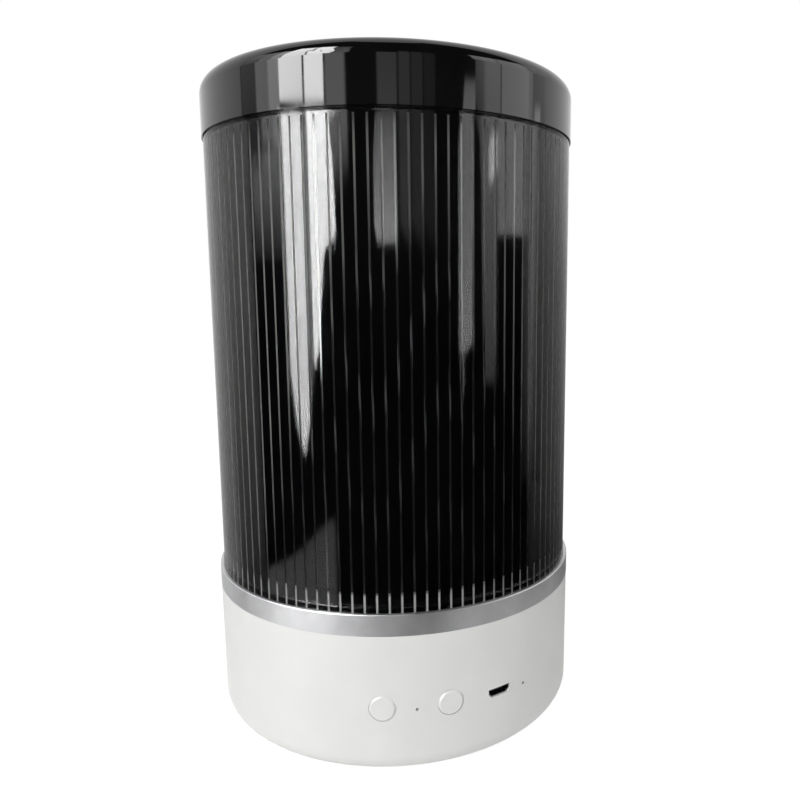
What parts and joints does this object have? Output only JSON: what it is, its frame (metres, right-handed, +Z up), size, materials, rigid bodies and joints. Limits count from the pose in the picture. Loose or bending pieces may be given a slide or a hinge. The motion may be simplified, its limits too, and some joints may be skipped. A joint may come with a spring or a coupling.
{
  "type": "rotating motion lamp",
  "caption": "Round table lamp whose printed sleeve turns round a lit core behind a black slit grid in a clear tube, on a white base with push buttons.",
  "frame": {"origin": "on the lamp's axis, at the underside of its rubber feet", "axes": "+Z up along the lamp's axis, -Y out through the point midway between the two buttons"},
  "size_m": [0.1164, 0.1164, 0.1962],
  "materials": {
    "white_abs": "fine moulded satin",
    "satin_silver": "satin",
    "clear_cover": "clear, glossy",
    "black_film": "printed black",
    "black_gloss": "polished black",
    "inner_abs": "moulded",
    "foot_rubber": "matte",
    "zinc_steel": "zinc plated",
    "acetal": "smooth",
    "core_aluminium": "extruded",
    "white_board": "white solder mask",
    "emitter": "domed resin",
    "printed_sleeve": "printed translucent film",
    "green_board": "green solder mask",
    "black_resin": "moulded epoxy",
    "connector_white": "nylon",
    "lead_jacket": "soft PVC",
    "cell_wrap": "shrink wrap",
    "inlet_steel": "bright tinned",
    "mic_metal": "drawn can",
    "clear_pipe": "clear",
    "indicator_resin": "resin",
    "gear_acetal": "moulded"
  },
  "bodies": {
    "case": {"base_shell": "white_abs", "floor_plate": "white_abs", "trim_ring": "satin_silver", "outer_cover": "clear_cover", "slit_film": "black_film", "top_cap": "black_gloss", "deck": "inner_abs", "light_post": "zinc_steel", "post_nuts": "zinc_steel", "thrust_washer": "acetal", "snap_ring": "zinc_steel", "light_core": "core_aluminium", "motor_gearbox": "zinc_steel", "motor_can": "zinc_steel", "motor_screws": "zinc_steel", "floor_screws": "zinc_steel", "deck_screws": "zinc_steel", "board_screws": "zinc_steel", "main_board": "green_board", "microphone": "mic_metal", "usb_shell": "inlet_steel", "usb_tongue": "black_resin", "charge_light": "indicator_resin", "light_pipe": "clear_pipe", "control_chip": "black_resin", "charge_chip": "black_resin", "battery_cell": "cell_wrap", "cell_lead": "lead_jacket", "motor_lead": "lead_jacket", "light_lead": "lead_jacket", "rubber_foot_1": "foot_rubber", "rubber_foot_2": "foot_rubber", "rubber_foot_3": "foot_rubber", "rubber_foot_4": "foot_rubber", "light_board_1": "white_board", "light_emitters_1": "emitter", "light_board_2": "white_board", "light_emitters_2": "emitter", "light_board_3": "white_board", "light_emitters_3": "emitter", "left_switch": "black_resin", "right_switch": "black_resin", "cell_header": "connector_white", "cell_plug": "connector_white", "motor_header": "connector_white", "motor_plug": "connector_white", "light_header": "connector_white", "light_plug": "connector_white"},
    "drum": {"turntable": "gear_acetal", "turntable_bush": "acetal", "image_sleeve": "printed_sleeve", "top_spider": "gear_acetal", "top_bush": "acetal"},
    "pinion": {"drive_pinion": "acetal", "motor_shaft": "zinc_steel"},
    "left_key": {"left_button": "white_abs", "left_plunger": "black_resin"},
    "right_key": {"right_button": "white_abs", "right_plunger": "black_resin"}
  },
  "joints": [
    {"name": "drum_spin", "type": "hinge", "parent": "case", "child": "drum", "pos_m": [0, 0, 0.0487], "axis": [0, 0, 1], "continuous": true},
    {"name": "pinion_spin", "type": "hinge", "parent": "case", "child": "pinion", "pos_m": [-0.0288, 0, 0.0447], "axis": [0, 0, 1], "continuous": true},
    {"name": "left_press", "type": "slide", "parent": "case", "child": "left_key", "axis": [0.165, 0.9863, 0], "range_m": [0, 0.0005], "stiffness_N_per_m": 800, "springref_m": -0.0005},
    {"name": "right_press", "type": "slide", "parent": "case", "child": "right_key", "axis": [-0.165, 0.9863, 0], "range_m": [0, 0.0005], "stiffness_N_per_m": 800, "springref_m": -0.0005}
  ],
  "couplings": [
    {"joint": "pinion_spin", "follows": "drum_spin", "ratio": -5}
  ]
}
